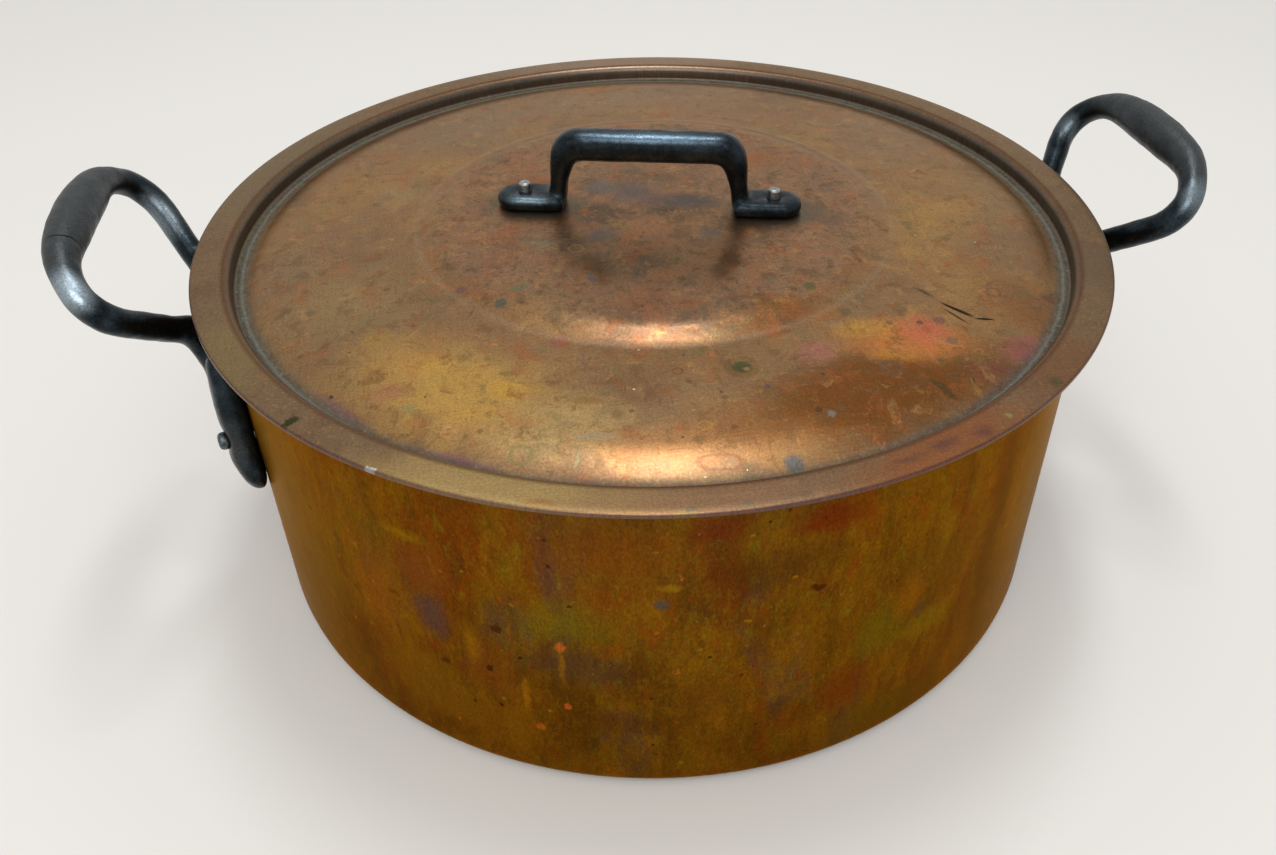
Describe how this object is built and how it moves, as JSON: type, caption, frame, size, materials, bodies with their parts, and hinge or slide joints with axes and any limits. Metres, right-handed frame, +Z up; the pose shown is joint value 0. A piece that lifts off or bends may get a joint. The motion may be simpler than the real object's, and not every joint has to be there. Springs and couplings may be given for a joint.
{
  "type": "lidded copper pot",
  "caption": "Low round copper cooking pot with iron loop handles at its sides and a lift-off copper lid with an iron bow handle.",
  "frame": {"origin": "middle of the flat base, on the surface that the pot stands on", "axes": "+X towards the right side handle, +Z up through the lid"},
  "size_m": [0.3678, 0.295, 0.1482],
  "materials": {
    "copper_body": "satin",
    "copper_lid": "satin",
    "tin_wiped": "satin",
    "cast_iron_black": "satin",
    "steel_rivet": "satin"
  },
  "bodies": {
    "pot": {"pot_body": "copper_body", "pot_tin_lining": "tin_wiped", "side_handle_left": "cast_iron_black", "side_handle_right": "cast_iron_black", "side_rivet_left_back": "steel_rivet", "side_rivet_left_front": "steel_rivet", "side_rivet_right_back": "steel_rivet", "side_rivet_right_front": "steel_rivet"},
    "lid": {"lid_disc": "copper_lid", "lid_tin_lining": "tin_wiped", "lid_handle": "cast_iron_black", "lid_rivet_left": "steel_rivet", "lid_rivet_right": "steel_rivet"}
  },
  "joints": [
    {"name": "lid_lift", "type": "slide", "parent": "pot", "child": "lid", "axis": [0, 0, 1], "range_m": [0, 0.12]}
  ]
}
